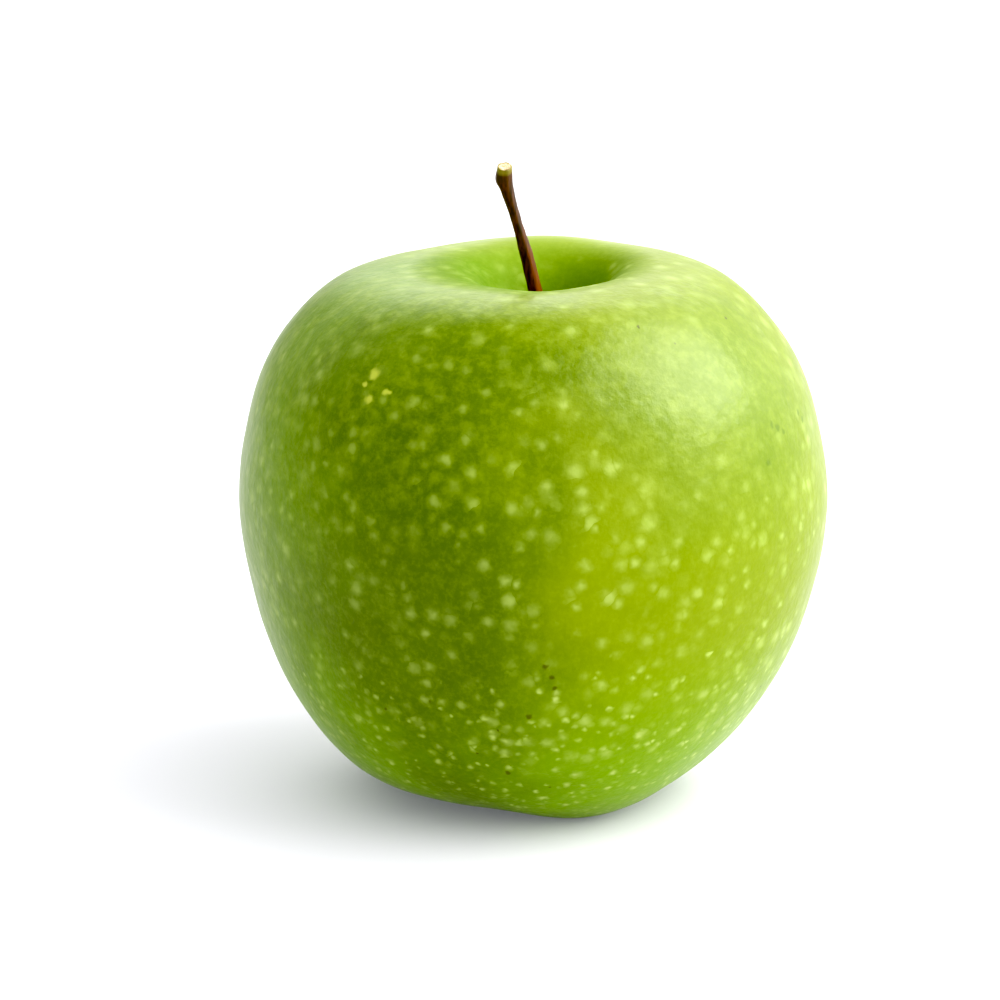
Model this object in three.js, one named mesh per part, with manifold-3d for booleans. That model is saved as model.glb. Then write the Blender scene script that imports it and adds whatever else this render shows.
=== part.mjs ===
// A green apple as picked: the whole fruit, its woody stem and the dried calyx underneath.
// Millimetres, +Z up. The apple stands on z = 0 and the Z axis runs through the middle of its outline.
import * as THREE from "three";
import { mergeVertices } from "three/addons/utils/BufferGeometryUtils.js";
import Module from "manifold-3d";

const { cos, sin, exp, max, PI } = Math;
const { degToRad, euclideanModulo, lerp, smoothstep } = THREE.MathUtils;

// Driving dimensions of the fruit
const FRUIT_RADIUS = 40; // at the fullest part
const FRUIT_HEIGHT = 73.3; // floor to the rim round the stem bowl
const BOWL_RIM = 13.9; // radius of the rim round the stem bowl
const BOWL_DEPTH = 15.5;
const BASIN_RIM = 15.8; // radius of the rim that the apple stands on
const BASIN_DEPTH = 9.2;
const EYE_RADIUS = 3; // flat ground at the bottom of the basin, where the calyx sits
const SOCKET_RADIUS = 1.8; // where the stem goes into the flesh
const SOCKET_DEPTH = 3;
const SPOT_DEPTH = 0.3; // how far the standing rim is pressed flat by the fruit's weight
const GAP = 0.3; // air between the flesh and the piece beside it

const BOWL_FLOOR = FRUIT_HEIGHT - BOWL_DEPTH;
const SOCKET_FLOOR = BOWL_FLOOR - SOCKET_DEPTH;

// The skin's half section as [radius, height], out of the stem bowl, over the shoulder, into the basin
const HALF_SECTION = [
  [SOCKET_RADIUS, BOWL_FLOOR],
  [4, FRUIT_HEIGHT - 11],
  [8, FRUIT_HEIGHT - 3.2],
  [BOWL_RIM, FRUIT_HEIGHT],
  [26.5, FRUIT_HEIGHT - 2.5],
  [35.7, FRUIT_HEIGHT - 12.5],
  [39.7, FRUIT_HEIGHT - 25],
  [FRUIT_RADIUS, FRUIT_HEIGHT - 36],
  [37, FRUIT_HEIGHT - 50],
  [31.7, FRUIT_HEIGHT - 61],
  [24, 3.5],
  [BASIN_RIM, -SPOT_DEPTH],
  [8.6, 2.4],
  [4.6, 6.6],
  [EYE_RADIUS, BASIN_DEPTH],
];

// How this fruit departs from a turned shape. The five lobes follow the five seed chambers.
const LOBES = 5;
const BASE_LOBE = { toward: degToRad(-62), swell: 0.02, valley: 0.8, width: 9 };
const BOWL_LOBE = { toward: degToRad(-53), swell: 0.015, valley: 0.3, width: 8 };
const BASIN_FOLD = { radius: 8, depth: 0.07, width: 4 };
const SHORT_LOBE = { toward: degToRad(-138), lift: 2.5, width: 0.6 }; // the one lobe off the floor
const HIGH_SHOULDER = { toward: degToRad(60), lift: 1 };
const OVAL = { toward: degToRad(-48), swell: 0.012 };
const BASE_SHIFT = -1.2; // the basin sits to one side of the fruit's middle, the bowl to the other
const BOWL_SHIFT = 1.8;

// Heights or radii between which each departure fades in
const FADE = {
  base: [34, 2],
  shoulder: [44, 70],
  aboveCore: [30, 54],
  aroundBowl: [30, 8],
  axis: [EYE_RADIUS, 9],
};

// The stem, from its cut end down to its foot in the socket: [height over the foot, x, y, radius]
const STEM_LINE = [
  [32.4, -5.65, -3.7, 0.95],
  [30.6, -5.63, -3.4, 1],
  [28.8, -5.25, -3.1, 0.88],
  [24.8, -4.05, -2.5, 0.72],
  [20.5, -2.85, -1.9, 0.9],
  [15.1, -1.55, -1.2, 1],
  [8, -0.3, -0.3, 1.2],
  [SOCKET_DEPTH, 0, 0, SOCKET_RADIUS - GAP],
  [0, 0, 0, SOCKET_RADIUS - GAP],
];
const STEM_CUT = { slope: 0.45, length: 2.5 }; // the end is cut aslant, facing forward
const STEM_KNOB = { height: 30.7, width: 1, swell: 0.3, toward: PI };
const STEM_RIBS = { count: 5, depth: 0.05, start: 7 };

// The calyx: a woody ring with five dried sepals, which hang down in the basin and curl outward
const SEPALS = 5;
const RING = { bore: 1.1, radius: EYE_RADIUS - GAP, height: 1.1, bevel: 0.4 };
const SEPAL_LINE = [
  [1.9, 0.5, 2.1],
  [1.75, 1.6, 2.2],
  [2, 2.7, 1.8],
  [2.9, 3.3, 1.2],
  [3.7, 3.1, 0.7],
]; // [radius, depth below the ring's top, width]
const SEPAL_THICK = { root: 0.85, tip: 0.65 };

// How finely each piece is divided
const FRUIT_SIDES = 80;
const STEM_SIDES = 18;
const SEPAL_SIDES = 10;
const RING_SIDES = 30;
const FRUIT_STEPS = 4; // between two points of a section or line
const STEM_STEPS = 3;
const SEPAL_STEPS = 2;

// 0 to 1 as a value goes from the first end of a range to the second
function fade(value, [from, to]) {
  return from < to ? smoothstep(value, from, to) : 1 - smoothstep(value, to, from);
}

function bell(distance, width) {
  return exp(-((distance / width) ** 2));
}

// The signed angle from one direction to another, at most half a turn
function turnFrom(direction, angle) {
  return euclideanModulo(angle - direction + PI, 2 * PI) - PI;
}

// One ring of points, counterclockwise seen from above, from a function of the angle
function ring(sides, pointAt) {
  return Array.from({ length: sides }, (_, side) => pointAt((side / sides) * 2 * PI));
}

// Rows of numbers made smooth: as many steps as asked are drawn between each two rows
function smoothRows(rows, steps) {
  const columns = rows[0].map((_, column) =>
    new THREE.SplineCurve(rows.map((row, i) => new THREE.Vector2(i, row[column])))
      .getPoints(steps * (rows.length - 1))
      .map((point) => point.y),
  );
  return columns[0].map((_, i) => columns.map((column) => column[i]));
}

// A closed mesh over rings of points that run downward, with a fan of triangles at each end
function loft(rings) {
  const sides = rings[0].length;
  const middleOf = (points) =>
    points.reduce((sum, point) => sum.add(point), new THREE.Vector3()).divideScalar(sides);
  const points = [...rings.flat(), middleOf(rings[0]), middleOf(rings.at(-1))];
  const top = points.length - 2;
  const bottom = points.length - 1;
  const lastRing = (rings.length - 1) * sides;
  const faces = [];
  for (let side = 0; side < sides; side++) {
    const next = (side + 1) % sides;
    faces.push(top, side, next, bottom, lastRing + next, lastRing + side);
    for (let start = 0; start < lastRing; start += sides) {
      const below = start + sides;
      faces.push(start + side, below + side, below + next);
      faces.push(start + side, below + next, start + next);
    }
  }
  const geometry = new THREE.BufferGeometry().setFromPoints(points);
  geometry.setIndex(faces);
  geometry.computeVertexNormals();
  return geometry;
}

// Where a point of the half section lies once the fruit has grown unevenly
function grown(radius, height, angle) {
  const low = fade(height, FADE.base);
  const high = fade(height, FADE.shoulder);
  const outside = fade(radius, FADE.axis);
  const baseLobe = cos(LOBES * (angle - BASE_LOBE.toward));
  const bowlLobe = cos(LOBES * (angle - BOWL_LOBE.toward));

  const fold = BASIN_FOLD.depth * bell(radius - BASIN_FOLD.radius, BASIN_FOLD.width);
  const baseSwell = (BASE_LOBE.swell - fold) * low * baseLobe;
  const bowlSwell = BOWL_LOBE.swell * high * bowlLobe;
  const ovalSwell = OVAL.swell * cos(2 * (angle - OVAL.toward));
  const reach = radius * (1 + outside * (baseSwell + bowlSwell + ovalSwell));

  const onBaseRim = low * outside * bell(radius - BASIN_RIM, BASE_LOBE.width);
  const onBowlRim = high * outside * bell(radius - BOWL_RIM, BOWL_LOBE.width);
  const baseLift =
    (BASE_LOBE.valley * (1 - baseLobe)) / 2 +
    SHORT_LOBE.lift * bell(turnFrom(SHORT_LOBE.toward, angle), SHORT_LOBE.width);
  const bowlLift =
    HIGH_SHOULDER.lift * cos(angle - HIGH_SHOULDER.toward) - (BOWL_LOBE.valley * (1 - bowlLobe)) / 2;

  const bowlShift = BOWL_SHIFT * fade(height, FADE.aboveCore) * fade(radius, FADE.aroundBowl);
  return new THREE.Vector3(
    reach * cos(angle) + BASE_SHIFT * low + bowlShift,
    reach * sin(angle),
    max(0, height + onBaseRim * baseLift + onBowlRim * bowlLift),
  );
}

// Skin and flesh in one solid, with a socket for the stem and flat ground for the calyx
function fruitGeometry() {
  const section = [[SOCKET_RADIUS, SOCKET_FLOOR], ...smoothRows(HALF_SECTION, FRUIT_STEPS)];
  return loft(
    section.map(([radius, height]) => ring(FRUIT_SIDES, (angle) => grown(radius, height, angle))),
  );
}

// The stem: round and faintly ribbed, slimmest above the middle, with a knob below its slanting cut end
function stemGeometry() {
  const [tip] = STEM_LINE[0];
  const rings = smoothRows(STEM_LINE, STEM_STEPS).map(([height, x, y, radius]) => {
    const slope = STEM_CUT.slope * fade(height, [tip - STEM_CUT.length, tip]);
    const ribs = STEM_RIBS.depth * fade(height, [SOCKET_DEPTH, STEM_RIBS.start]);
    const knob = STEM_KNOB.swell * bell(height - STEM_KNOB.height, STEM_KNOB.width);
    return ring(STEM_SIDES, (angle) => {
      const towardKnob = max(0, cos(angle - STEM_KNOB.toward));
      const reach = radius * (1 + ribs * cos(STEM_RIBS.count * angle) + knob * towardKnob);
      const forward = reach * sin(angle);
      return new THREE.Vector3(x + reach * cos(angle), y + forward, height + slope * forward);
    });
  });
  return loft(rings);
}

// One dried sepal: a lens-shaped blade that starts inside the ring and narrows to a curled tip
function sepalGeometry(toward) {
  const outward = new THREE.Vector3(cos(toward), sin(toward), 0);
  const sideways = new THREE.Vector3(-sin(toward), cos(toward), 0);
  const rows = smoothRows(SEPAL_LINE, SEPAL_STEPS);
  const middles = rows.map(([radius, depth]) => outward.clone().multiplyScalar(radius).setZ(-depth));
  const rings = rows.map(([, , width], i) => {
    const before = middles[max(0, i - 1)];
    const after = middles[i + 1] ?? middles[i];
    const along = after.clone().sub(before).normalize();
    const faceOut = along.cross(sideways);
    const thick = lerp(SEPAL_THICK.root, SEPAL_THICK.tip, i / (rows.length - 1));
    return ring(SEPAL_SIDES, (angle) =>
      middles[i]
        .clone()
        .addScaledVector(faceOut, (thick / 2) * cos(angle))
        .addScaledVector(sideways, (width / 2) * sin(angle)),
    );
  });
  return loft(rings);
}

// The woody ring that the sepals grow from, turned about the basin's axis with its top at zero
function calyxRingGeometry() {
  const { bore, radius, height, bevel } = RING;
  const profile = [
    [bore, 0],
    [bore, -height],
    [radius - bevel, -height],
    [radius, bevel - height],
    [radius, 0],
    [bore, 0],
  ];
  const turned = new THREE.LatheGeometry(
    profile.map(([r, z]) => new THREE.Vector2(r, z)),
    RING_SIDES,
  );
  return turned.rotateX(PI / 2);
}

const wasm = await Module();
wasm.setup();

function solidOf(geometry) {
  const bare = new THREE.BufferGeometry();
  bare.setAttribute("position", geometry.getAttribute("position"));
  bare.setIndex(geometry.getIndex());
  const merged = mergeVertices(bare);
  return new wasm.Manifold(
    new wasm.Mesh({
      numProp: 3,
      vertProperties: merged.getAttribute("position").array,
      triVerts: Uint32Array.from(merged.getIndex().array),
    }),
  );
}

function geometryOf(solid) {
  const { vertProperties, triVerts } = solid.getMesh();
  const geometry = new THREE.BufferGeometry();
  geometry.setAttribute("position", new THREE.BufferAttribute(vertProperties, 3));
  geometry.setIndex(new THREE.BufferAttribute(triVerts, 1));
  geometry.computeVertexNormals();
  return geometry;
}

function calyxGeometry() {
  let calyx = solidOf(calyxRingGeometry());
  for (let sepal = 0; sepal < SEPALS; sepal++) {
    calyx = calyx.add(solidOf(sepalGeometry(BASE_LOBE.toward + (sepal / SEPALS) * 2 * PI)));
  }
  return geometryOf(calyx);
}

function piece(name, geometry, look) {
  const mesh = new THREE.Mesh(geometry, new THREE.MeshStandardMaterial({ metalness: 0, ...look }));
  mesh.name = name;
  return mesh;
}

const fruit = piece("fruit", fruitGeometry(), { color: 0x8aac1e, roughness: 0.4 });

const stem = piece("stem", stemGeometry(), { color: 0x5a3320, roughness: 0.7 });
stem.position.copy(grown(0, SOCKET_FLOOR, 0));

const calyx = piece("calyx", calyxGeometry(), { color: 0x6e5a3c, roughness: 0.9 });
calyx.position.copy(grown(0, BASIN_DEPTH, 0));

const apple = new THREE.Group();
apple.add(fruit, stem, calyx);

export default apple;
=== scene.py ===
import math
import random

import bmesh
import bpy
from mathutils import Matrix, Vector, noise


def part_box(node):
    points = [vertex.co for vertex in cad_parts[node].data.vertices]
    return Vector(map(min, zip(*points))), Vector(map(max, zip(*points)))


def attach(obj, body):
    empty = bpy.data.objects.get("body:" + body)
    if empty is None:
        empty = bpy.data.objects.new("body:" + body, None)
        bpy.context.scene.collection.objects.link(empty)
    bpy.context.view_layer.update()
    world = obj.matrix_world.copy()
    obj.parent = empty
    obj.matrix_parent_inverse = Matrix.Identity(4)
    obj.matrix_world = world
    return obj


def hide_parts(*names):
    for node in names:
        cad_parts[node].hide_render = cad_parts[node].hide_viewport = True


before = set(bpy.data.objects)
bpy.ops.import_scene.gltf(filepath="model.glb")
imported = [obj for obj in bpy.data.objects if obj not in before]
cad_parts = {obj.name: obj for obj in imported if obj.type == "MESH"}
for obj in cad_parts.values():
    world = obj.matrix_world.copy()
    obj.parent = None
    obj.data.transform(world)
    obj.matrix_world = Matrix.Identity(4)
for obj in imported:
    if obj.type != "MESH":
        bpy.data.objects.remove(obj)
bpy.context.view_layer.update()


# The fruit. Tight, waxy green skin over crisp flesh, swollen from the blossom in one piece.
# Its five lobes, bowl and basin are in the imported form; growing has left it faintly uneven.

MM = 0.001
SKIN_UNEVEN = ((14 * MM, 0.16 * MM), (5 * MM, 0.05 * MM))  # width and height of its soft dents
STANDING_SPOTS = 1.2 * MM  # below this the skin keeps the form that it stands on


def settled(piece):
    """Gives a piece the mesh that its modifiers make, smooth shaded."""
    bpy.context.view_layer.update()
    shaped = piece.evaluated_get(bpy.context.evaluated_depsgraph_get())
    mesh = bpy.data.meshes.new_from_object(shaped)
    piece.modifiers.clear()
    piece.data = mesh
    mesh.shade_smooth()
    return piece


def refined(name, node, levels, sharp_angle=math.pi):
    """A finer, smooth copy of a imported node, creased where it bends more than the sharp angle."""
    work = bmesh.new()
    work.from_mesh(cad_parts[node].data)
    bmesh.ops.remove_doubles(work, verts=work.verts, dist=0.0001 * MM)
    bmesh.ops.join_triangles(
        work,
        faces=work.faces,
        angle_face_threshold=math.radians(30),
        angle_shape_threshold=math.radians(50),
    )
    crease = work.edges.layers.float.new("crease_edge")
    for edge in work.edges:
        if edge.calc_face_angle(0) > sharp_angle:
            edge[crease] = 1
    mesh = bpy.data.meshes.new(name)
    work.to_mesh(mesh)
    work.free()
    piece = bpy.data.objects.new(name, mesh)
    bpy.context.collection.objects.link(piece)
    finer = piece.modifiers.new("finer", "SUBSURF")
    finer.levels = finer.render_levels = levels
    return settled(piece)


def push_out(piece, waves, weight=lambda place: 1, drawn_out=1):
    """Moves a piece's surface in and out by soft noise, in waves of a width and a height."""
    mesh = piece.data
    moved = []
    for vertex in mesh.vertices:
        place = Vector((vertex.co.x, vertex.co.y, vertex.co.z / drawn_out))
        height = sum(high * noise.noise(place / wide) for wide, high in waves)
        moved.append(vertex.co + vertex.normal * height * weight(vertex.co))
    for vertex, place in zip(mesh.vertices, moved):
        vertex.co = place
    mesh.update()


fruit = refined("apple_skin", "fruit", levels=2)
push_out(fruit, SKIN_UNEVEN, lambda place: min(1, max(0, place.z / STANDING_SPOTS - 1)))
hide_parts("fruit")
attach(fruit, "root")


def linear(hex_code):
    """An sRGB hex colour as linear red, green, blue and alpha."""
    channels = [int(hex_code[i : i + 2], 16) / 255 for i in (0, 2, 4)]
    return [c / 12.92 if c <= 0.04045 else ((c + 0.055) / 1.055) ** 2.4 for c in channels] + [1]


def add(tree, kind, sockets=(), **settings):
    """Adds a node with its settings, each socket given a value or linked to an output."""
    made = tree.nodes.new(kind)
    for setting, value in settings.items():
        setattr(made, setting, value)
    for socket, value in dict(sockets).items():
        if isinstance(value, bpy.types.Node):
            value = next(output for output in value.outputs if output.enabled)
        if isinstance(value, bpy.types.NodeSocket):
            tree.links.new(value, made.inputs[socket])
        else:
            made.inputs[socket].default_value = value
    return made


def new_material(name):
    """An empty material with its node tree and its output."""
    material = bpy.data.materials.new(name)
    material.use_nodes = True
    material.node_tree.nodes.clear()
    output = material.node_tree.nodes.new("ShaderNodeOutputMaterial")
    return material, material.node_tree, output


# Waxy apple skin: cutin and wax over green cells, grown and never polished, so its gloss is broad
# and breaks up at the edge. It is deep green on the flank turned from the light, partly its own
# colour and partly painted shade, and yellower towards the sun, which was on the right.
skin, tree, output = new_material("waxy green apple skin")
DEEP_GREEN = linear("4B6300")
LEAF_GREEN = linear("628200")
SUN_GREEN = linear("788A04")
PALE_GREEN = linear("98AA40")
BOWL_GREEN = linear("608200")
BASE_GREEN = linear("709A00")
SHOULDER_GREEN = linear("667E00")
GREEN_AND_SHADED_SHOULDER = Vector((24, -24, 60)) * MM  # the middle of a greener cloud on the sunny shoulder, partly its own colour and partly painted shade under the gloss
SHOULDER_REACH = (4 * MM, 27 * MM)  # where that cloud starts to fade, and where it ends
SHADE_STRETCH = 0.3  # the shaded side is a tall patch, so heights count this much in it
DEEP_AND_SHADED_FLANK = Vector((-15, -36, 13)) * MM  # its middle, with the height counted so
SHADE_REACH = (2 * MM, 31 * MM)
CLOUD_WIDTH = 13 * MM
CLOUD_SHIFT = 5 * MM  # how far the clouds move the edges of these patches in and out

place = add(tree, "ShaderNodeTexCoord").outputs["Object"]
axes = add(tree, "ShaderNodeSeparateXYZ", {0: place})
across, deep, height = axes.outputs

# Clouds of deeper and lighter green, as the cells under the skin hold more or less of it
clouds = add(
    tree,
    "ShaderNodeTexNoise",
    {"Vector": place, "Scale": 1 / CLOUD_WIDTH, "Detail": 3, "Roughness": 0.55},
)
cloudy = add(tree, "ShaderNodeMapRange", {0: clouds, 1: 0.34, 2: 0.66, 3: -CLOUD_SHIFT, 4: CLOUD_SHIFT})
sunward = add(tree, "ShaderNodeMath", {0: across, 1: cloudy}, operation="ADD")
sunned = add(
    tree,
    "ShaderNodeMapRange",
    {0: sunward, 1: -26 * MM, 2: 10 * MM},
    interpolation_type="SMOOTHSTEP",
)
colour = add(tree, "ShaderNodeMix", {0: sunned, 6: LEAF_GREEN, 7: SUN_GREEN}, data_type="RGBA")
# Painted shade over the skin's own deeper green: the flank turned from the light is darker
lowered = add(tree, "ShaderNodeVectorMath", {0: place, 1: (1, 1, SHADE_STRETCH)}, operation="MULTIPLY")
from_shade = add(tree, "ShaderNodeVectorMath", {0: lowered, 1: DEEP_AND_SHADED_FLANK}, operation="DISTANCE")
shade_edge = add(tree, "ShaderNodeMath", {0: from_shade.outputs["Value"], 1: cloudy}, operation="ADD")
shaded = add(
    tree,
    "ShaderNodeMapRange",
    {0: shade_edge, 1: SHADE_REACH[0], 2: SHADE_REACH[1], 3: 1, 4: 0},
    interpolation_type="SMOOTHSTEP",
)
# Painted shade over a greener cloud of its own: the lit shoulder under the gloss is darker
from_shoulder = add(tree, "ShaderNodeVectorMath", {0: place, 1: GREEN_AND_SHADED_SHOULDER}, operation="DISTANCE")
shoulder_edge = add(tree, "ShaderNodeMath", {0: from_shoulder.outputs["Value"], 1: cloudy}, operation="ADD")
greener_and_shaded = add(
    tree,
    "ShaderNodeMapRange",
    {0: shoulder_edge, 1: SHOULDER_REACH[0], 2: SHOULDER_REACH[1], 3: 0.9, 4: 0},
    interpolation_type="SMOOTHSTEP",
)
colour = add(tree, "ShaderNodeMix", {0: greener_and_shaded, 6: colour, 7: SHOULDER_GREEN}, data_type="RGBA")
near_base = add(
    tree,
    "ShaderNodeMapRange",
    {0: height, 1: 34 * MM, 2: 6 * MM, 3: 0, 4: 0.75},
    interpolation_type="SMOOTHSTEP",
)
colour = add(tree, "ShaderNodeMix", {0: near_base, 6: colour, 7: BASE_GREEN}, data_type="RGBA")
colour = add(tree, "ShaderNodeMix", {0: shaded, 6: colour, 7: DEEP_GREEN}, data_type="RGBA")

# Flecks run from the bowl down over the shoulder, as the skin stretched when the fruit swelled
STREAK_WIDTH = 1.8 * MM
STREAK_LENGTH = 2.4 * MM
SHOULDER_RADIUS = 30 * MM  # of the round line on the shoulder where the streaks have that width
outward = add(tree, "ShaderNodeCombineXYZ", {0: across, 1: deep})
radius = add(tree, "ShaderNodeVectorMath", {0: outward}, operation="LENGTH")
bearing = add(tree, "ShaderNodeVectorMath", {0: outward}, operation="NORMALIZE")
round_it = add(
    tree,
    "ShaderNodeVectorMath",
    {0: bearing, "Scale": SHOULDER_RADIUS / STREAK_WIDTH},
    operation="SCALE",
)
descent = add(tree, "ShaderNodeMath", {0: radius.outputs["Value"], 1: height}, operation="SUBTRACT")
down_it = add(tree, "ShaderNodeMath", {0: descent, 1: 1 / STREAK_LENGTH}, operation="MULTIPLY")
drop = add(tree, "ShaderNodeCombineXYZ", {2: down_it})
along = add(tree, "ShaderNodeVectorMath", {0: round_it, 1: drop}, operation="ADD")
flecks = add(tree, "ShaderNodeTexNoise", {"Vector": along, "Scale": 1, "Detail": 3, "Roughness": 0.6})
flecked = add(tree, "ShaderNodeMapRange", {0: flecks, 1: 0.42, 2: 0.72}, interpolation_type="SMOOTHSTEP")
high_up = add(
    tree,
    "ShaderNodeMapRange",
    {0: height, 1: 36 * MM, 2: 66 * MM, 3: 0.05, 4: 0.26},
    interpolation_type="SMOOTHSTEP",
)

# The bowl is plainer and fresher green than the shoulder, and the far side of the crown is paler: painted
# light where the light from behind catches it
BOWL_EDGE = (17 * MM, 10 * MM)
in_bowl = add(tree, "ShaderNodeMapRange", {0: radius.outputs["Value"], 1: BOWL_EDGE[0], 2: BOWL_EDGE[1]})
on_top = add(tree, "ShaderNodeMapRange", {0: height, 1: 45 * MM, 2: 50 * MM})
in_bowl = add(tree, "ShaderNodeMath", {0: in_bowl, 1: on_top}, operation="MULTIPLY")
outside = add(tree, "ShaderNodeMath", {0: 1, 1: in_bowl}, operation="SUBTRACT")
colour = add(tree, "ShaderNodeMix", {0: in_bowl, 6: colour, 7: BOWL_GREEN}, data_type="RGBA")
# Painted light: the far side of the crown is paler
painted_light_crown = add(tree, "ShaderNodeMapRange", {0: height, 1: 62 * MM, 2: 72 * MM})
to_the_back = add(tree, "ShaderNodeMapRange", {0: deep, 1: 4 * MM, 2: 20 * MM, 3: 0, 4: 0.75})
painted_light_crown = add(tree, "ShaderNodeMath", {0: painted_light_crown, 1: to_the_back}, operation="MULTIPLY")
colour = add(tree, "ShaderNodeMix", {0: painted_light_crown, 6: colour, 7: PALE_GREEN}, data_type="RGBA")
fleck_share = add(tree, "ShaderNodeMath", {0: flecked, 1: high_up}, operation="MULTIPLY")
fleck_share = add(tree, "ShaderNodeMath", {0: fleck_share, 1: outside}, operation="MULTIPLY")
colour = add(tree, "ShaderNodeMix", {0: fleck_share, 6: colour, 7: PALE_GREEN}, data_type="RGBA")

# Fine grain: cells that are paler than their neighbours, drawn coarser than real so that they show
GRAIN = 0.8 * MM
grain = add(
    tree,
    "ShaderNodeTexNoise",
    {"Vector": place, "Scale": 1 / GRAIN, "Detail": 3, "Roughness": 0.65},
)
grainy = add(
    tree,
    "ShaderNodeMapRange",
    {0: grain, 1: 0.4, 2: 0.75, 3: 0, 4: 0.15},
    interpolation_type="SMOOTHSTEP",
)
colour = add(tree, "ShaderNodeMix", {0: grainy, 6: colour, 7: PALE_GREEN}, data_type="RGBA")

# Lenticels, the fruit's breathing pores: soft pale dots, fine and thick at the base, few and large
# on the shoulder, each with a halo in the flesh under it. They are fainter on the shaded side and
# in the green cloud on the shoulder.
DOT_HALO = linear("A2B656")
DOT_CORE = linear("BCCA80")
STIR_WIDTH = 1.1 * MM
STIR = 0.9 * MM  # keeps the dots from being round
MIDDLE_GREY = (0.5, 0.5, 0.5)
stirred = add(tree, "ShaderNodeTexNoise", {"Vector": place, "Scale": 1 / STIR_WIDTH, "Detail": 1})
stir = add(
    tree,
    "ShaderNodeVectorMath",
    {0: stirred.outputs["Color"], 1: MIDDLE_GREY},
    operation="SUBTRACT",
)
stir = add(tree, "ShaderNodeVectorMath", {0: stir, "Scale": STIR}, operation="SCALE")
uneven_place = add(tree, "ShaderNodeVectorMath", {0: place, 1: stir}, operation="ADD")
showing = add(tree, "ShaderNodeMapRange", {0: sunned, 3: 0.5, 4: 0.9})
few = add(tree, "ShaderNodeMapRange", {0: greener_and_shaded, 1: 0.2, 2: 0.8, 3: 1, 4: 0.2})
showing = add(tree, "ShaderNodeMath", {0: showing, 1: few}, operation="MULTIPLY")
# name, then in millimetres the room of one dot, its reach with its halo, and the heights where such
# dots start, are full, begin to fade and end, and last their strength
LENTICELS = (
    ("base", 1.55, 0.9, (-1, 0, 14, 30), 1.0),
    ("side", 2.5, 1.7, (8, 18, 50, 70), 0.58),
    ("shoulder", 3.2, 2.2, (40, 56, 72, 76), 0.42),
)
for name, cell, dot, (low, low_full, high_full, high), strength in LENTICELS:
    cells = add(
        tree,
        "ShaderNodeTexVoronoi",
        {"Vector": uneven_place, "Scale": 1 / (cell * MM), "Randomness": 0.9},
        label=name,
    )
    centre = add(tree, "ShaderNodeSeparateXYZ", {0: cells.outputs["Position"]}).outputs[2]
    lot = add(tree, "ShaderNodeSeparateColor", {0: cells.outputs["Color"]})
    size = add(tree, "ShaderNodeMapRange", {0: lot.outputs[0], 3: 0.55 * dot / cell, 4: 1.1 * dot / cell})
    far = add(tree, "ShaderNodeMath", {0: cells.outputs["Distance"], 1: size}, operation="DIVIDE")
    come = add(tree, "ShaderNodeMapRange", {0: centre, 1: low * MM, 2: low_full * MM})
    go = add(tree, "ShaderNodeMapRange", {0: centre, 1: high_full * MM, 2: high * MM, 3: 1, 4: 0})
    here = add(tree, "ShaderNodeMath", {0: come, 1: go}, operation="MULTIPLY")
    shown = add(tree, "ShaderNodeMath", {0: lot.outputs[1], 1: here}, operation="LESS_THAN")
    pale = add(tree, "ShaderNodeMapRange", {0: lot.outputs[2], 3: 0.3 * strength, 4: strength})
    pale = add(tree, "ShaderNodeMath", {0: pale, 1: showing}, operation="MULTIPLY")
    pale = add(tree, "ShaderNodeMath", {0: pale, 1: shown}, operation="MULTIPLY")
    for reach, tint, most in ((1, DOT_HALO, 1), (0.6, DOT_CORE, 0.5)):
        inside = add(
            tree,
            "ShaderNodeMapRange",
            {0: far, 1: 0.1 * reach, 2: reach, 3: most, 4: 0},
            interpolation_type="SMOOTHSTEP",
        )
        share = add(tree, "ShaderNodeMath", {0: inside, 1: pale}, operation="MULTIPLY")
        colour = add(tree, "ShaderNodeMix", {0: share, 6: colour, 7: tint}, data_type="RGBA")


def on_the_skin(bearing, height):
    """The point of the fruit's side at a bearing round its axis and a height in millimetres."""
    out = Vector((math.cos(math.radians(bearing)), math.sin(math.radians(bearing)), 0))
    well_outside = out * 60 * MM + Vector((0, 0, height * MM))
    return fruit.ray_cast(well_outside, -out)[1]


# Russet: a thin corky bloom in the skin round the stem's foot and round the calyx
RUSSET = linear("8C8444")
RUSSET_REACH = (2.5 * MM, 7 * MM)
STEM_FOOT = Vector((1.8, 0, 54.8)) * MM
EYE = Vector((-1.05, 0, 9.2)) * MM  # the middle of the basin's ground, where the calyx sits
for middle in (STEM_FOOT, EYE):
    off = add(tree, "ShaderNodeVectorMath", {0: uneven_place, 1: middle}, operation="DISTANCE")
    close = add(
        tree,
        "ShaderNodeMapRange",
        {0: off.outputs["Value"], 1: RUSSET_REACH[0], 2: RUSSET_REACH[1], 3: 0.9, 4: 0},
    )
    corky = add(tree, "ShaderNodeMapRange", {0: grain, 1: 0.35, 2: 0.6}, interpolation_type="SMOOTHSTEP")
    share = add(tree, "ShaderNodeMath", {0: close, 1: corky}, operation="MULTIPLY")
    colour = add(tree, "ShaderNodeMix", {0: share, 6: colour, 7: RUSSET}, data_type="RGBA")

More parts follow.
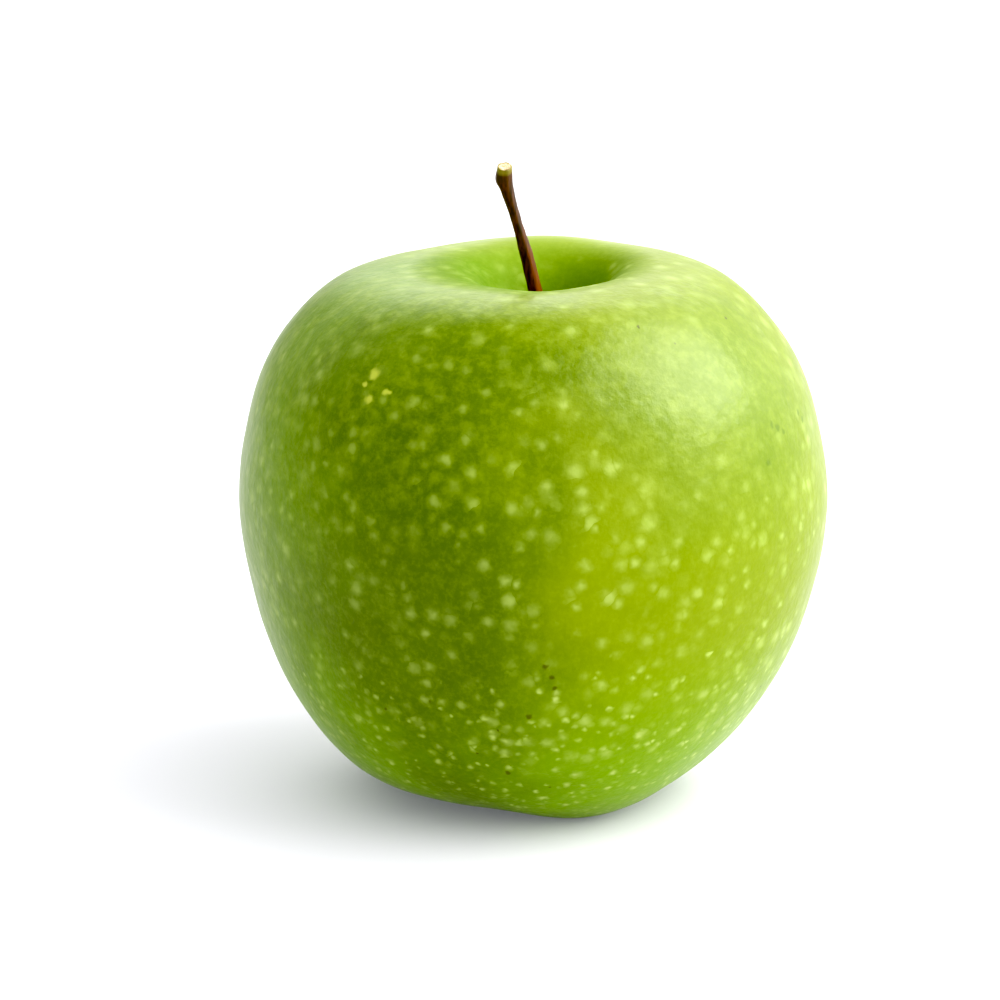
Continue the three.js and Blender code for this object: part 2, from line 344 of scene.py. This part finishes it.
# Small healed marks, each a bearing in degrees, a height and a radius in millimetres, under the
# name, the colour and the strength of their kind
BLEMISHES = (
    (
        "corky specks",
        linear("40400C"),
        0.75,
        (
            (-88, 27.8, 0.44),
            (-86.4, 26.2, 0.42),
            (-86, 24.6, 0.42),
            (-91, 20.3, 0.48),
            (-112.4, 21.6, 0.25),
            (-123.2, 19.5, 0.28),
            (-97.7, 17.9, 0.24),
            (-103.6, 14, 0.26),
            (-96.5, 10.8, 0.46),
            (-85.7, 8.3, 0.22),
            (-28, 18.7, 0.26),
            (-29.5, 68.8, 0.3),
            (-54, 67.7, 0.28),
            (-61.5, 69.8, 0.25),
            (96, 33, 0.3),
            (151, 22, 0.3),
        ),
    ),
    (
        "yellow scuffs",
        linear("B8C050"),
        0.75,
        (
            (-128.2, 63.9, 0.9),
            (-127.1, 61, 0.7),
            (-123.2, 62.1, 0.6),
            (-129.6, 62.6, 0.5),
            (58, 41, 0.7),
            (61, 40, 0.5),
        ),
    ),
    (
        "dark scratches",
        linear("4E6A00"),
        0.6,
        (
            (-21.7, 56, 0.5),
            (-20.6, 54.8, 0.5),
            (-35, 56, 0.5),
            (-33, 55.4, 0.5),
            (-31.4, 54.8, 0.5),
            (-38.8, 51.6, 0.6),
        ),
    ),
)
for name, tint, strength, marks in BLEMISHES:
    nearest = 10  # in radii of a mark, so farther off than any mark reaches
    for degrees, rise, reach in marks:
        spot = on_the_skin(degrees, rise)
        off = add(
            tree,
            "ShaderNodeVectorMath",
            {0: uneven_place, 1: spot},
            operation="DISTANCE",
            label=name,
        )
        off = add(
            tree,
            "ShaderNodeMath",
            {0: off.outputs["Value"], 1: 1 / (reach * MM)},
            operation="MULTIPLY",
        )
        nearest = add(tree, "ShaderNodeMath", {0: off, 1: nearest}, operation="MINIMUM")
    share = add(
        tree,
        "ShaderNodeMapRange",
        {0: nearest, 1: 0.4, 2: 1.3, 3: strength, 4: 0},
        interpolation_type="SMOOTHSTEP",
    )
    colour = add(tree, "ShaderNodeMix", {0: share, 6: colour, 7: tint}, data_type="RGBA")

# Fine dimples and long low waves in the peel, which break up its gloss, and a wax that is dullest in
# the bowl, where nothing rubs it
PEEL = (1.1 * MM, 0.07 * MM)  # width and height
WAVES = (3.5 * MM, 0.14 * MM)
peel = add(
    tree,
    "ShaderNodeTexNoise",
    {"Vector": place, "Scale": 1 / PEEL[0], "Detail": 3, "Roughness": 0.6},
)
relief = add(tree, "ShaderNodeBump", {"Height": peel, "Distance": PEEL[1]})
waves = add(tree, "ShaderNodeTexNoise", {"Vector": place, "Scale": 1 / WAVES[0], "Detail": 2})
rolled = add(tree, "ShaderNodeBump", {"Height": waves, "Distance": WAVES[1], "Normal": relief})
wax = add(tree, "ShaderNodeMapRange", {0: clouds, 1: 0.3, 2: 0.7, 3: 0.3, 4: 0.38})
dull_bowl = add(tree, "ShaderNodeMath", {0: in_bowl, 1: 0.5}, operation="MULTIPLY")
wax = add(tree, "ShaderNodeMath", {0: wax, 1: dull_bowl}, operation="ADD")
surface = add(
    tree,
    "ShaderNodeBsdfPrincipled",
    {
        "Base Color": colour,
        "Roughness": wax,
        "Normal": rolled,
        "IOR": 1.42,
        "Subsurface Weight": 0.15,
        "Subsurface Radius": (1.0, 1.4, 0.2),
        "Subsurface Scale": 1.5 * MM,
    },
)
tree.links.new(surface.outputs[0], output.inputs["Surface"])
fruit.data.materials.clear()
fruit.data.materials.append(skin)


# The stem. A woody stalk, round with faint ribs, brown where its bark has dried.
# It grew out of the flesh at the bottom of the bowl, and its far end was cut from the spur.

STEM_RIBS = ((0.45 * MM, 0.07 * MM), (1.1 * MM, 0.08 * MM))  # width and height
RIB_STRETCH = 7  # the ribs are this many times as long as wide
STEM_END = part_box("stem")[1][2]
CUT_SLOPE = 0.45  # the knife's plane rises towards the back
CUT_FACING = Vector((0, -CUT_SLOPE, 1)).normalized()

stem = refined("apple_stem", "stem", levels=3, sharp_angle=math.radians(50))
push_out(stem, STEM_RIBS, drawn_out=RIB_STRETCH)
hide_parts("stem")
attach(stem, "root")

WOOD_SHARE = 0.8  # of the end's radius, inside its rim of bark
cut = [
    face
    for face in stem.data.polygons
    if face.center.z > STEM_END - 2 * MM and face.normal.dot(CUT_FACING) > 0.94
]
cut_middle = sum((face.center for face in cut), Vector()) / len(cut)
cut_radius = max((face.center - cut_middle).length for face in cut)
CUT_LEVEL = cut_middle.dot(CUT_FACING)

# Thin dried bark: dull, ridged lengthwise, nearly black where weathered and orange-brown towards the
# fruit, with an olive collar where the end is still young. The orange is also painted light on the
# side that faces the light, +X.
bark, tree, output = new_material("dried apple bark")
DARK_BARK = linear("2A160C")
BROWN_BARK = linear("522C18")
ORANGE_BARK = linear("984A10")
OLIVE_BARK = linear("86802A")
FIBRE = (0.4 * MM, 0.4 * MM, 4 * MM)
ORANGE_PART = (24 * MM, 8 * MM)  # how far under the stem's end it is full, and where it ends
place = add(tree, "ShaderNodeTexCoord").outputs["Object"]
height = add(tree, "ShaderNodeSeparateXYZ", {0: place}).outputs[2]
streaks = add(tree, "ShaderNodeMapping", {"Vector": place, "Scale": [1 / size for size in FIBRE]})
fibre = add(tree, "ShaderNodeTexNoise", {"Vector": streaks, "Scale": 1, "Detail": 4, "Roughness": 0.6})
patches = add(tree, "ShaderNodeTexNoise", {"Vector": place, "Scale": 1 / (2.2 * MM), "Detail": 3})
brown = add(tree, "ShaderNodeMapRange", {0: fibre, 1: 0.35, 2: 0.62}, interpolation_type="SMOOTHSTEP")
colour = add(tree, "ShaderNodeMix", {0: brown, 6: DARK_BARK, 7: BROWN_BARK}, data_type="RGBA")
low_down = add(
    tree,
    "ShaderNodeMapRange",
    {0: height, 1: STEM_END - ORANGE_PART[0], 2: STEM_END - ORANGE_PART[1], 3: 0.85, 4: 0},
)
# Painted light: the bark turns orange on the side whose normal faces the light on the right
turned = add(tree, "ShaderNodeSeparateXYZ", {0: add(tree, "ShaderNodeTexCoord").outputs["Normal"]})
painted_light_side = add(tree, "ShaderNodeMapRange", {0: turned, 1: -0.3, 2: 0.5, 3: -0.2, 4: 0.25})
worn_and_lit = add(tree, "ShaderNodeMath", {0: fibre, 1: painted_light_side}, operation="ADD")
bare_and_lit = add(tree, "ShaderNodeMapRange", {0: worn_and_lit, 1: 0.42, 2: 0.66}, interpolation_type="SMOOTHSTEP")
rubbed_and_lit = add(tree, "ShaderNodeMath", {0: low_down, 1: bare_and_lit}, operation="MULTIPLY")
colour = add(tree, "ShaderNodeMix", {0: rubbed_and_lit, 6: colour, 7: ORANGE_BARK}, data_type="RGBA")
under_cut = add(tree, "ShaderNodeVectorMath", {0: place, 1: CUT_FACING}, operation="DOT_PRODUCT")
end_part = add(
    tree,
    "ShaderNodeMapRange",
    {0: under_cut.outputs["Value"], 1: CUT_LEVEL - 0.8 * MM, 2: CUT_LEVEL - 0.35 * MM},
)
living = add(tree, "ShaderNodeMapRange", {0: patches, 1: 0.3, 2: 0.5, 3: 0.5, 4: 1})
young = add(tree, "ShaderNodeMath", {0: end_part, 1: living}, operation="MULTIPLY")
colour = add(tree, "ShaderNodeMix", {0: young, 6: colour, 7: OLIVE_BARK}, data_type="RGBA")
lengthwise = add(tree, "ShaderNodeBump", {"Height": fibre, "Distance": 0.08 * MM})
surface = add(
    tree,
    "ShaderNodeBsdfPrincipled",
    {"Base Color": colour, "Roughness": 0.5, "Normal": lengthwise},
)
tree.links.new(surface.outputs[0], output.inputs["Surface"])

# Cut apple wood: pale cream and a little pink, open grained and dry
cut_wood, tree, output = new_material("cut apple wood")
place = add(tree, "ShaderNodeTexCoord").outputs["Object"]
pores = add(tree, "ShaderNodeTexNoise", {"Vector": place, "Scale": 1 / (0.25 * MM), "Detail": 3})
open_grain = add(tree, "ShaderNodeMapRange", {0: pores, 1: 0.35, 2: 0.7}, interpolation_type="SMOOTHSTEP")
DARK_WOOD = linear("C79C74")
CREAM_WOOD = linear("EBD9B4")
colour = add(tree, "ShaderNodeMix", {0: open_grain, 6: DARK_WOOD, 7: CREAM_WOOD}, data_type="RGBA")
rough_cut = add(tree, "ShaderNodeBump", {"Height": pores, "Distance": 0.05 * MM})
surface = add(
    tree,
    "ShaderNodeBsdfPrincipled",
    {"Base Color": colour, "Roughness": 0.75, "Normal": rough_cut},
)
tree.links.new(surface.outputs[0], output.inputs["Surface"])

stem.data.materials.clear()
stem.data.materials.append(bark)
stem.data.materials.append(cut_wood)
for face in cut:
    face.material_index = int((face.center - cut_middle).length < WOOD_SHARE * cut_radius)


# The calyx. What is left of the flower under the fruit, a dry brown star in the basin: a puckered
# ring grown out of the skin, five curled sepals on it, and inside them old stamens and styles.

# radius and depth under the basin's ground, in millimetres, from the skin over the ring and inwards
RING_PROFILE = (
    (2.9, -0.2),
    (2.75, 0.4),
    (2.45, 0.95),
    (2.05, 1.15),
    (1.6, 1.0),
    (1.25, 0.5),
    (1.1, -0.2),
    (0.01, -0.4),
)
RING_PUCKERS = (0.5, 0.14)  # width and height
SEPALS = 5
FIRST_SEPAL = -62  # the bearing of one sepal
SEPAL_THICKNESS = 0.2 * MM
# radius, depth and width along a sepal, from its foot on the ring to its tip
SEPAL_LINE = (
    (2.0, 0.3, 1.9),
    (1.85, 1.2, 2.3),
    (1.8, 2.0, 2.2),
    (2.1, 2.75, 1.8),
    (2.8, 3.3, 1.3),
    (3.5, 3.3, 0.8),
    (3.85, 2.9, 0.3),
)
dice = random.Random(5)


def hung(degrees, radius, depth, sideways=0):
    """A point under the basin, from its bearing, radius, depth and shift along the ring in mm."""
    out = Vector((math.cos(math.radians(degrees)), math.sin(math.radians(degrees)), 0))
    side = Vector((-out.y, out.x, 0))
    return EYE + (out * radius + side * sideways - Vector((0, 0, depth))) * MM


def piece_of(name, points, faces):
    """A piece made from points and faces."""
    mesh = bpy.data.meshes.new(name)
    mesh.from_pydata(points, [], faces)
    piece = bpy.data.objects.new(name, mesh)
    bpy.context.collection.objects.link(piece)
    return piece


STEPS = 60
rows = len(RING_PROFILE)
ring_points = []
ring_faces = []
for step in range(STEPS):
    for radius, depth in RING_PROFILE:
        spot = hung(360 * step / STEPS, radius, depth)
        pucker = RING_PUCKERS[1] * noise.noise(spot / (RING_PUCKERS[0] * MM)) * min(1, radius)
        ring_points.append(hung(360 * step / STEPS, radius + pucker, depth + pucker))
    here = step * rows
    beside = (step + 1) % STEPS * rows
    for row in range(rows - 1):
        ring_faces.append((here + row, here + row + 1, beside + row + 1, beside + row))
ring = piece_of("calyx_ring", ring_points, ring_faces)

LONG = 18  # faces along a sepal
WIDE = 8  # faces across it
sepal_points = []
sepal_faces = []
for sepal in range(SEPALS):
    degrees = FIRST_SEPAL + sepal * 360 / SEPALS
    bend = dice.uniform(-0.7, 0.7)
    curl = dice.uniform(0.2, 0.5)
    first = len(sepal_points)
    for row in range(LONG + 1):
        place_along = row / LONG * (len(SEPAL_LINE) - 1)
        joint = min(int(place_along), len(SEPAL_LINE) - 2)
        part = place_along - joint
        radius, depth, width = (
            one + (other - one) * part for one, other in zip(SEPAL_LINE[joint], SEPAL_LINE[joint + 1])
        )
        for column in range(WIDE + 1):
            aside = 2 * column / WIDE - 1
            ragged = 1 + 0.3 * noise.noise(Vector((row * 0.45, sepal * 7, aside)))
            wrinkle = 0.22 * noise.noise(Vector((aside * 2.2, row * 0.22, sepal * 5)))
            rolled_in = curl * aside * aside * row / LONG
            sepal_points.append(
                hung(
                    degrees,
                    radius + wrinkle + rolled_in,
                    depth - rolled_in + wrinkle,
                    aside * width / 2 * ragged + bend * (row / LONG) ** 2,
                )
            )
    for row in range(LONG):
        for column in range(WIDE):
            corner = first + row * (WIDE + 1) + column
            sepal_faces.append((corner, corner + 1, corner + WIDE + 2, corner + WIDE + 1))
sepals = piece_of("calyx_sepals", sepal_points, sepal_faces)
thickness = sepals.modifiers.new("thickness", "SOLIDIFY")
thickness.thickness = SEPAL_THICKNESS
thickness.offset = 0


def threads(name, paths):
    """A piece of thin round threads, each a path of points with a radius in mm at each."""
    curve = bpy.data.curves.new(name, "CURVE")
    curve.dimensions = "3D"
    curve.bevel_depth = MM
    curve.bevel_resolution = 2
    curve.use_fill_caps = True
    for path in paths:
        spline = curve.splines.new("POLY")
        spline.points.add(len(path) - 1)
        for point, (spot, radius) in zip(spline.points, path):
            point.co = (*spot, 1)
            point.radius = radius
    work = bpy.data.objects.new(name + "_work", curve)
    bpy.context.collection.objects.link(work)
    bpy.context.view_layer.update()
    mesh = bpy.data.meshes.new_from_object(work.evaluated_get(bpy.context.evaluated_depsgraph_get()))
    bpy.data.objects.remove(work)
    piece = bpy.data.objects.new(name, mesh)
    bpy.context.collection.objects.link(piece)
    mesh.shade_smooth()
    return piece


STAMENS = 18
# share of the length and radius in millimetres: the stalk, and the dry anther at its end
STAMEN_LINE = ((0, 0.07), (0.3, 0.06), (0.6, 0.055), (0.82, 0.06), (0.87, 0.13), (0.95, 0.14), (1, 0.05))
stamen_paths = []
for stamen in range(STAMENS):
    degrees = 360 * stamen / STAMENS + dice.uniform(-7, 7)
    foot = dice.uniform(1.35, 1.6)
    lean = dice.uniform(-0.75, 0.15)
    length = dice.uniform(1.3, 2.1)
    swerve = dice.uniform(-0.5, 0.5)
    path = []
    for part, thick in STAMEN_LINE:
        spot = hung(degrees, foot + lean * part, 0.8 + length * part, swerve * part * part)
        path.append((spot, thick))
    stamen_paths.append(path)
stamens = threads("calyx_stamens", stamen_paths)

STYLES = 5
STYLE_LINE = ((0, 0.16), (0.4, 0.1), (0.8, 0.09), (0.92, 0.15), (1, 0.08))
style_paths = []
for style in range(STYLES):
    degrees = 36 + 360 * style / STYLES + dice.uniform(-10, 10)
    length = dice.uniform(1.7, 2.2)
    spread = dice.uniform(0.45, 0.75)
    path = []
    for part, thick in STYLE_LINE:
        path.append((hung(degrees, 0.16 + spread * part * part, -0.3 + length * part), thick))
    style_paths.append(path)
styles = threads("calyx_styles", style_paths)

# Withered flower tissue: papery, dull and slightly downy, grey-brown with darker veins lengthwise
withered, tree, output = new_material("withered calyx")
BROWN_TISSUE = linear("3A2616")
TAN_TISSUE = linear("7C6444")
GREEN_TISSUE = linear("6E7A2C")
VEIN_BROWN = linear("2A1A10")
BLOTCHES = 0.9 * MM
VEINS = (0.2 * MM, 0.2 * MM, 1.6 * MM)
place = add(tree, "ShaderNodeTexCoord").outputs["Object"]
height = add(tree, "ShaderNodeSeparateXYZ", {0: place}).outputs[2]
blotches = add(
    tree,
    "ShaderNodeTexNoise",
    {"Vector": place, "Scale": 1 / BLOTCHES, "Detail": 4, "Roughness": 0.6},
)
blotched = add(tree, "ShaderNodeMapRange", {0: blotches, 1: 0.32, 2: 0.66}, interpolation_type="SMOOTHSTEP")
colour = add(tree, "ShaderNodeMix", {0: blotched, 6: BROWN_TISSUE, 7: TAN_TISSUE}, data_type="RGBA")
green_foot = add(
    tree,
    "ShaderNodeMapRange",
    {0: height, 1: EYE.z - 1.6 * MM, 2: EYE.z - 0.2 * MM, 3: 0, 4: 0.75},
)
colour = add(tree, "ShaderNodeMix", {0: green_foot, 6: colour, 7: GREEN_TISSUE}, data_type="RGBA")
vein = add(tree, "ShaderNodeMapping", {"Vector": place, "Scale": [1 / size for size in VEINS]})
veins = add(tree, "ShaderNodeTexNoise", {"Vector": vein, "Scale": 1, "Detail": 2})
darker = add(
    tree,
    "ShaderNodeMapRange",
    {0: veins, 1: 0.5, 2: 0.7, 3: 0, 4: 0.5},
    interpolation_type="SMOOTHSTEP",
)
colour = add(tree, "ShaderNodeMix", {0: darker, 6: colour, 7: VEIN_BROWN}, data_type="RGBA")
crinkles = add(tree, "ShaderNodeBump", {"Height": veins, "Distance": 0.05 * MM})
surface = add(
    tree,
    "ShaderNodeBsdfPrincipled",
    {
        "Base Color": colour,
        "Roughness": 0.85,
        "Normal": crinkles,
        "Sheen Weight": 0.35,
        "Sheen Roughness": 0.6,
    },
)
tree.links.new(surface.outputs[0], output.inputs["Surface"])

# Dry stamens and styles: brittle dark threads with browner tips
dry_thread, tree, output = new_material("dry stamens")
DARK_THREAD = linear("24140C")
BROWN_THREAD = linear("6A4426")
place = add(tree, "ShaderNodeTexCoord").outputs["Object"]
specks = add(tree, "ShaderNodeTexNoise", {"Vector": place, "Scale": 1 / (0.3 * MM), "Detail": 3})
brown = add(tree, "ShaderNodeMapRange", {0: specks, 1: 0.35, 2: 0.65}, interpolation_type="SMOOTHSTEP")
colour = add(tree, "ShaderNodeMix", {0: brown, 6: DARK_THREAD, 7: BROWN_THREAD}, data_type="RGBA")
surface = add(tree, "ShaderNodeBsdfPrincipled", {"Base Color": colour, "Roughness": 0.7})
tree.links.new(surface.outputs[0], output.inputs["Surface"])

for piece in (ring, sepals):
    finer = piece.modifiers.new("finer", "SUBSURF")
    finer.levels = 1
    finer.render_levels = 1
    settled(piece)
for piece, material in (
    (ring, withered),
    (sepals, withered),
    (stamens, dry_thread),
    (styles, dry_thread),
):
    piece.data.materials.clear()
    piece.data.materials.append(material)
    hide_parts("calyx")
    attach(piece, "root")


# The table and the light. The apple stands on a sweep of matte white paper in a small studio. One
# large soft box high on its right lights it, with a bright window above that. Pale walls stand all
# round it, brightest on the right.

sweep_mesh = bpy.data.meshes.new("white_sweep")
SWEEP = 3  # half its width in metres
sweep_mesh.from_pydata(
    [(-SWEEP, -SWEEP, 0), (SWEEP, -SWEEP, 0), (SWEEP, SWEEP, 0), (-SWEEP, SWEEP, 0)],
    [],
    [(0, 1, 2, 3)],
)
sweep = bpy.data.objects.new("white_sweep", sweep_mesh)
bpy.context.collection.objects.link(sweep)

# Matte white paper: no gloss, and lit a little from underneath, so its shadows stay pale and bluish
paper, tree, output = new_material("matte white paper")
surface = add(
    tree,
    "ShaderNodeBsdfPrincipled",
    {
        "Base Color": linear("D6D6D6"),
        "Roughness": 0.9,
        "Emission Color": linear("DED8FF"),
        "Emission Strength": 0.16,
    },
)
tree.links.new(surface.outputs[0], output.inputs["Surface"])
sweep_mesh.materials.append(paper)

# bearing from +X and rise in degrees, brightness, and reach in degrees of each soft wall
PALE_WALLS = (
    (0, 15, 1.5, 72),
    (45, 15, 0.7, 72),
    (92, 34, 1.1, 34),
    (90, 15, 0.3, 72),
    (135, 20, 0.3, 72),
    (180, 25, 0.45, 72),
    (225, 20, 0.2, 72),
    (270, 20, 0.4, 72),
    (315, 15, 1.1, 72),
    (90, 85, 0.5, 72),
)
world = bpy.data.worlds.new("pale studio")
bpy.context.scene.world = world
world.use_nodes = True
tree = world.node_tree
tree.nodes.clear()
output = tree.nodes.new("ShaderNodeOutputWorld")
toward = add(tree, "ShaderNodeTexCoord").outputs["Generated"]
brightness = 0
for bearing, rise, radiance, reach in PALE_WALLS:
    turn = Matrix.Rotation(math.radians(bearing), 3, "Z") @ Matrix.Rotation(-math.radians(rise), 3, "Y")
    middle = turn @ Vector((1, 0, 0))
    facing = add(tree, "ShaderNodeVectorMath", {0: toward, 1: middle}, operation="DOT_PRODUCT")
    wall = add(
        tree,
        "ShaderNodeMapRange",
        {0: facing.outputs["Value"], 1: math.cos(math.radians(reach)), 2: 1, 3: 0, 4: radiance},
        interpolation_type="SMOOTHSTEP",
    )
    brightness = add(tree, "ShaderNodeMath", {0: wall, 1: brightness}, operation="ADD")
lit = add(tree, "ShaderNodeBackground", {"Color": (1, 1, 1, 1), "Strength": brightness})
tree.links.new(lit.outputs[0], output.inputs["Surface"])


def soft_box(name, toward, distance, size, radiance):
    """A square soft box that faces the apple, from a direction, with the brightness it shows."""
    light = bpy.data.lights.new(name, "AREA")
    light.shape = "SQUARE"
    light.size = size
    light.energy = radiance * math.pi * size * size
    box = bpy.data.objects.new(name, light)
    aim = Vector(toward).normalized()
    box.location = Vector((0, 0, 40 * MM)) + aim * distance
    box.rotation_euler = aim.to_track_quat("Z", "Y").to_euler()
    bpy.context.collection.objects.link(box)
    return box


soft_box("key_box", (0.76, -0.12, 0.64), 0.9, 0.8, 2.6)

# The window only shows in the apple's gloss, whose brightest patch the soft box leaves too dim
window = soft_box("window", (0.65, -0.01, 0.76), 0.95, 1.0, 3.6)
window.visible_diffuse = False


# The camera and the look of the picture. The photograph was taken from a little above with a long
# lens, and processed to more contrast, with the darkest tones cut off, those of blue most of all.

CAMERA_RISE = math.radians(14.1)
CAMERA_DISTANCE = 600 * MM
CAMERA_AIM = Vector((-4.47 * MM, 0, 40.4 * MM))
DARKEST = (0.028, 0.028, 0.05)
camera_data = bpy.data.cameras.new("camera")
camera_data.sensor_width = 36
camera_data.lens = 157.8
camera = bpy.data.objects.new("camera", camera_data)
view = Vector((0, math.cos(CAMERA_RISE), -math.sin(CAMERA_RISE)))
camera.location = CAMERA_AIM - view * CAMERA_DISTANCE
camera.rotation_euler = view.to_track_quat("-Z", "Y").to_euler()
bpy.context.collection.objects.link(camera)
bpy.context.scene.camera = camera
display = bpy.context.scene.view_settings
display.view_transform = "Standard"
display.look = "Medium High Contrast"
display.use_curve_mapping = True
display.curve_mapping.black_level = DARKEST
display.curve_mapping.update()
